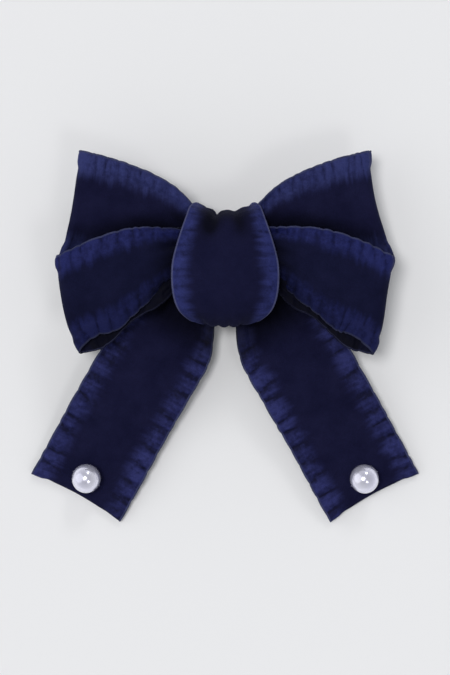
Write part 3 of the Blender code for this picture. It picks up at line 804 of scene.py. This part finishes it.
def band_stations():
    """Round the band, looking along X: y, z and half width, from the front over the top."""
    low, high = box_mm("knot_band")
    front = high[2] - 0.4
    top = high[1] - 1.3
    bottom = low[1] + 0.4
    under = low[2] + 0.4
    run = BAND_RUN_HALF
    return (
        (-1.5, front, 13.6),
        (5.4, front - 1.0, 12.0),
        (10.6, front - 3.8, 9.9),
        (top - 0.2, front - 9.0, 8.7),
        (12.9, 10.6, 6.6),
        (6.0, 7.1, run),
        (4.9, under + 0.25, run),
        (3.4, under, run),
        (0.0, under, run),
        (-3.4, under, run),
        (-4.9, under + 0.25, run),
        (-5.8, 7.6, run),
        (-12.2, 11.4, 5.8),
        (bottom, front - 8.4, 7.6),
        (-14.6, front - 3.4, 10.8),
        (-9.0, front - 0.7, 13.2),
    )


def knot_band(materials):
    """Wide band round the middle, pleated where it turns over the top and bottom."""
    rng = np.random.default_rng(37)
    t = np.linspace(0.0, 1.0, BAND_POINTS)
    stations = through(band_stations(), t, closed=True)
    raw = np.column_stack([0 * t, stations])
    path, along = respaced(raw, ROW_STEP)
    cut = along[-1]
    path, along = path[:-1], along[:-1]
    y, z, half = path[:, 1], path[:, 2], path[:, 3]
    v = COLUMNS[None, :]
    fullness = ease((z - 14.0) / 8.0)[:, None]
    grid = np.zeros((len(y), len(COLUMNS), 3))
    grid[:, :, 0] = -half[:, None] * v
    grid[:, :, 1] = y[:, None]
    grid[:, :, 2] = z[:, None] - fullness * (1.6 * v**2 + 1.3 * np.abs(v) ** 8)
    top_end = bell(y, 13.5, 4.6)[:, None] * (z > 9)[:, None]
    bottom_end = bell(y, -16.8, 3.4)[:, None] * (z > 9)[:, None]
    grid[:, :, 1] += top_end * (2.0 * v**2 - 0.3) + 1.4 * bottom_end * v**2
    normal = normals_of(grid, True)
    rise, _, full = frill(rng, along, 0.15, 0.08, 2.2, 4.6)
    top_folds = bell(v, 0.27, 0.10) + 0.3 * bell(v, -0.30, 0.12)
    firm = 1.0 - 0.8 * ease((np.abs(v) - 0.82) / 0.12)
    height = rise * (0.2 + 0.8 * fullness) * firm + velvet_relief()[None, :] * (0.3 + 0.7 * fullness)
    behind = ease((15.0 - z) / 4.0)[:, None]
    height = height - 1.4 * top_end * top_folds - 0.5 * bottom_end * creases(v, BAND_LOW_PLEATS)
    height = height - 0.8 * behind * creases(v, BAND_BACK_PLEATS)
    grid = grid + normal * height[:, :, None]
    # Painted shade: two dark lobes and a dark patch where the band turns over the top, and a little at its
    # bottom end.
    painted_shade_lobes = bell(v, 0.36, 0.22) + 0.6 * bell(v, -0.36, 0.18)
    painted_shade = 1.4 * bell(y, 9.3, 3.1)[:, None] * painted_shade_lobes + bell(y, 13.4, 2.6)[:, None] * bell(v, 0.0, 0.62)
    painted_shade = painted_shade * (z > 15)[:, None] + 0.35 * bottom_end
    # Softer painted crease shade on the band's frills.
    full = mix(0.35, 1.0, full)
    return cloth_object("knot_band_cloth", grid, along, full, painted_shade, True, materials), cut


# ---------------------------------------------------------------- pearls

BORE_RADIUS = 0.45
BORE_ACROSS = (0.874, -0.486)
PROFILE_STEPS = 60
TURNED_STEPS = 96


def bore_direction(side):
    """Direction of a pearl's bore: level, across the end of its tail."""
    x, y = BORE_ACROSS
    return Vector((-side * x, y, 0.0)).normalized()


def pearl(node, side, material):
    """Bored bead turned from a profile, its bore across the tail."""
    low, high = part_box(node)
    centre = (Vector(low) + Vector(high)) / 2
    radius = (high[2] - low[2]) / 2
    lip = math.asin(BORE_RADIUS * MM / radius)
    profile = []
    for i in range(PROFILE_STEPS + 1):
        angle = mix(lip, math.pi - lip, i / PROFILE_STEPS)
        profile.append((radius * math.sin(angle), radius * math.cos(angle)))
    mesh = bpy.data.meshes.new(node + "_bead")
    points = []
    for k in range(TURNED_STEPS):
        c = math.cos(2 * math.pi * k / TURNED_STEPS)
        s = math.sin(2 * math.pi * k / TURNED_STEPS)
        points.extend((r * c, r * s, h) for r, h in profile)
    count = len(profile)
    faces = []
    for k in range(TURNED_STEPS):
        near = k * count
        far = (k + 1) % TURNED_STEPS * count
        for i in range(count):
            j = (i + 1) % count
            faces.append((near + i, near + j, far + j, far + i))
    mesh.from_pydata(points, [], faces)
    mesh.materials.append(material)
    mesh.shade_smooth()
    item = bpy.data.objects.new(node + "_bead", mesh)
    bpy.context.scene.collection.objects.link(item)
    turn = bore_direction(side).to_track_quat("Z", "Y").to_matrix().to_4x4()
    item.matrix_world = Matrix.Translation(centre) @ turn
    return item


def pearl_thread(node, side, bead, material):
    """Fine thread through the bore, down both sides of the bead and through the tail."""
    radius = 0.13
    reach = (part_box(bead)[1][2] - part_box(bead)[0][2]) / 2 / MM + radius
    low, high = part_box(bead)
    centre = (Vector(low) + Vector(high)) / 2
    angles = [math.radians(a) for a in range(-3, -58, -6)]
    right = [(reach * math.cos(a), reach * math.sin(a)) for a in angles]
    right = [(reach - 0.4, 0.0)] + right + [(2.1, -5.0), (2.0, -6.0), (1.6, -6.2)]
    loop = right + [(-a, z) for a, z in right[::-1]]
    across = bore_direction(side)
    points = [centre + across * (a * MM) + Vector((0, 0, z * MM)) for a, z in loop]
    return tube(node + "_twist", points, radius, True, material)


def tube(name, points, radius, closed, material):
    """Mesh tube along points in metres, with its radius in mm."""
    curve = bpy.data.curves.new(name, "CURVE")
    curve.dimensions = "3D"
    curve.bevel_depth = radius * MM
    curve.bevel_resolution = 4
    curve.use_fill_caps = not closed
    spline = curve.splines.new("POLY")
    spline.points.add(len(points) - 1)
    for slot, point in zip(spline.points, points):
        slot.co = (*point, 1.0)
    spline.use_cyclic_u = closed
    curve.materials.append(material)
    made = bpy.data.objects.new(name + "_curve", curve)
    bpy.context.scene.collection.objects.link(made)
    bpy.context.view_layer.update()
    mesh = bpy.data.meshes.new_from_object(made.evaluated_get(bpy.context.evaluated_depsgraph_get()))
    bpy.data.objects.remove(made, do_unlink=True)
    mesh.shade_smooth()
    item = bpy.data.objects.new(name, mesh)
    bpy.context.scene.collection.objects.link(item)
    return item


# ---------------------------------------------------------------- metal


def hinge():
    joint = frame["record"]["behaviour"]["joints"][0]
    return np.array(joint["pos_m"]) / MM


def spring_wire(material):
    """Close coil round the pin with a leg on each lever; it twists between its two ends."""
    low, high = box_mm("torsion_spring")
    x0, _, z0 = hinge()
    wire = 0.28
    coil = 1.35
    turns = 4.5
    start_y = low[1] + wire
    pitch = (high[1] - low[1] - 2 * wire) / turns
    points = [(high[0], start_y, high[2] - wire)]
    per_turn = 48
    for i in range(int(turns * per_turn) + 1):
        angle = math.pi / 2 + 2 * math.pi * i / per_turn
        y = start_y + pitch * i / per_turn
        points.append((x0 + coil * math.cos(angle), y, z0 + coil * math.sin(angle)))
    points.append((high[0], high[1] - wire, low[2] + wire))
    path = [[c * MM for c in point] for point in points]
    item = tube("torsion_spring_wire", path, wire, False, material)
    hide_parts("torsion_spring")
    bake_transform(item)


def paint(node, material):
    """Gives a stamped node a new look."""
    for place in frame["nodes"][node].material_slots:
        place.material = material


def soften(node, width):
    """Rounds a stamped node's sharp edges a little."""
    bevel = frame["nodes"][node].modifiers.new("Soft edges", "BEVEL")
    bevel.width = width * MM
    bevel.segments = 2
    bevel.limit_method = "ANGLE"


# ---------------------------------------------------------------- stage


def add_floor():
    mesh = bpy.data.meshes.new("floor")
    reach = 3.0
    corners = [(x * reach, y * reach, 0) for x, y in ((-1, -1), (1, -1), (1, 1), (-1, 1))]
    mesh.from_pydata(corners, [], [(0, 1, 2, 3)])
    item = bpy.data.objects.new("floor", mesh)
    bpy.context.scene.collection.objects.link(item)
    item.location.z = min(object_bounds()[0][2], 0.0) - 0.00005
    n = Nodes("pale_paper")
    pale = (0.800, 0.806, 0.822, 1.0)
    mesh.materials.append(n.finish(Base_Color=pale, Roughness=0.9, Specular_IOR_Level=0.1))
    item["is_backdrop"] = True


def distant_light(name, towards, spread, strength, colour=(1.0, 1.0, 1.0)):
    """Lamp far away in one direction, so that the floor is lit evenly; spread is its width in degrees."""
    light = bpy.data.lights.new(name, "SUN")
    light.angle = math.radians(spread)
    light.energy = strength
    light.color = colour
    item = bpy.data.objects.new(name, light)
    bpy.context.scene.collection.objects.link(item)
    item.rotation_euler = Vector(towards).to_track_quat("Z", "Y").to_euler()


def add_world(ambient, backdrop):
    """Soft surround, pale walls under a darker ceiling; the camera sees the backdrop's colour."""
    world = bpy.data.worlds.new("studio")
    bpy.context.scene.world = world
    world.use_nodes = True
    tree = world.node_tree
    tree.nodes.clear()
    output = tree.nodes.new("ShaderNodeOutputWorld")
    light = tree.nodes.new("ShaderNodeBackground")
    light.inputs["Strength"].default_value = ambient
    around = tree.nodes.new("ShaderNodeTexCoord")
    height = tree.nodes.new("ShaderNodeSeparateXYZ")
    walls = tree.nodes.new("ShaderNodeValToRGB")
    for stop, (spot, grey) in zip(walls.color_ramp.elements, ((0.05, 1.0), (0.95, 0.36))):
        stop.position = spot
        stop.color = (0.97 * grey, 0.98 * grey, grey, 1.0)
    tree.links.new(around.outputs["Generated"], height.inputs[0])
    tree.links.new(height.outputs[2], walls.inputs[0])
    tree.links.new(walls.outputs[0], light.inputs["Color"])
    seen = tree.nodes.new("ShaderNodeBackground")
    seen.inputs["Color"].default_value = (*backdrop, 1.0)
    path = tree.nodes.new("ShaderNodeLightPath")
    choose = tree.nodes.new("ShaderNodeMixShader")
    tree.links.new(path.outputs["Is Camera Ray"], choose.inputs[0])
    tree.links.new(light.outputs[0], choose.inputs[1])
    tree.links.new(seen.outputs[0], choose.inputs[2])
    tree.links.new(choose.outputs[0], output.inputs[0])


def add_camera(low, high):
    """Straight above the bow, far off, with the bow across most of the frame's width."""
    camera = bpy.data.cameras.new("camera")
    item = bpy.data.objects.new("camera", camera)
    bpy.context.scene.collection.objects.link(item)
    distance = 0.9
    frame_width = (high[0] - low[0]) / 0.86
    camera.sensor_fit = "HORIZONTAL"
    camera.sensor_width = 36.0
    camera.lens = camera.sensor_width * distance / frame_width
    camera.clip_start = 0.01
    item.location = ((low[0] + high[0]) / 2, (low[1] + high[1]) / 2, distance)
    item.rotation_euler = (0.0, 0.0, 0.0)
    bpy.context.scene.camera = item


def place(item, node, slot):
    """Shows a piece of the bow's own body in the place of its CAD node."""
    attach(item, "bow")
    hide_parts(node)


def declare(item, node, slot):
    """The same for a ribbon."""
    place(item, node, slot)


def main():
    scene = bpy.context.scene
    scene.view_settings.view_transform = "Standard"
    scene.view_settings.look = "None"
    cloth = ribbon_materials("ribbon", NAVY_PILE, NAVY_SATIN, FRILL, SELVEDGE_TONE_AND_PAINTED_HIGHLIGHT)
    # The back, front and band copies of the ribbon's look are painted lighter or darker for how light falls
    # on each piece.
    back_cloth = ribbon_materials("back_ribbon", NAVY_PILE, BACK_SATIN_PAINTED_LIGHTER, BACK_FRILL, SELVEDGE_TONE_AND_PAINTED_HIGHLIGHT)
    front_cloth = ribbon_materials("front_ribbon", FRONT_PILE_PAINTED_DARKER, FRONT_SATIN_PAINTED_DARKER, FRONT_FRILL, SELVEDGE_TONE_AND_PAINTED_HIGHLIGHT)
    band_cloth = ribbon_materials("band", KNOT_PILE, KNOT_SATIN_PAINTED_LIGHTER, BAND_FRILL, KNOT_SELVEDGE_PAINTED_HIGHLIGHT)
    pearl_look = pearl_material()
    plated = steel("clip_plate", (0.47, 0.47, 0.49), 0.33, 5200.0)
    pin_look = steel("pin_plate", (0.40, 0.40, 0.42), 0.34, 3000.0)
    wire_look = steel("spring_wire", (0.32, 0.32, 0.34), 0.36, 3000.0)
    navy_thread = thread_material("binding_twist", (0.010, 0.011, 0.040), (0.020, 0.022, 0.070))
    bead_thread = thread_material("pearl_twist", (0.045, 0.047, 0.10), (0.080, 0.083, 0.15))

    upper = upper_loops()
    lower = lower_loops()
    left = Tail("tail_left", 51, False)
    right = Tail("tail_right", 52, True)
    velvet = "navy_velvet"
    back_loops = upper.build(back_cloth)
    declare(back_loops, "upper_loop_ribbon", velvet)
    front_loops = lower.build(front_cloth)
    declare(front_loops, "lower_loop_ribbon", velvet)
    declare(left.build(cloth), "tail_left", velvet)
    declare(right.build(cloth), "tail_right", velvet)
    band, cut = knot_band(band_cloth)
    declare(band, "knot_band", "navy_band")

    for side, name in ((-1, "left"), (1, "right")):
        bead = "pearl_" + name
        thread = "pearl_thread_" + name
        place(pearl(bead, side, pearl_look), bead, "pearl")
        place(pearl_thread(thread, side, bead, bead_thread), thread, "white_thread")

    paint("binding_thread", navy_thread)
    paint("clip_upper_jaw", plated)
    paint("clip_lower_jaw", plated)
    paint("hinge_pin", pin_look)
    for node in ("clip_upper_jaw", "clip_lower_jaw"):
        soften(node, 0.12)
    spring_wire(wire_look)

    add_floor()
    low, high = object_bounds()
    add_camera(low, high)
    add_world(0.66, (0.785, 0.792, 0.808))
    distant_light("key", (-0.17, 0.07, 1.0), 15.0, 1.45, (1.0, 0.99, 0.98))
    distant_light("left_panel", (-0.84, 0.08, 0.54), 64.0, 0.45)
    distant_light("top_lamp", (0.234, 0.756, 0.62), 13.0, 0.32)
    distant_light("right_lamp", (0.33, -0.37, 0.87), 14.0, 0.24)


main()
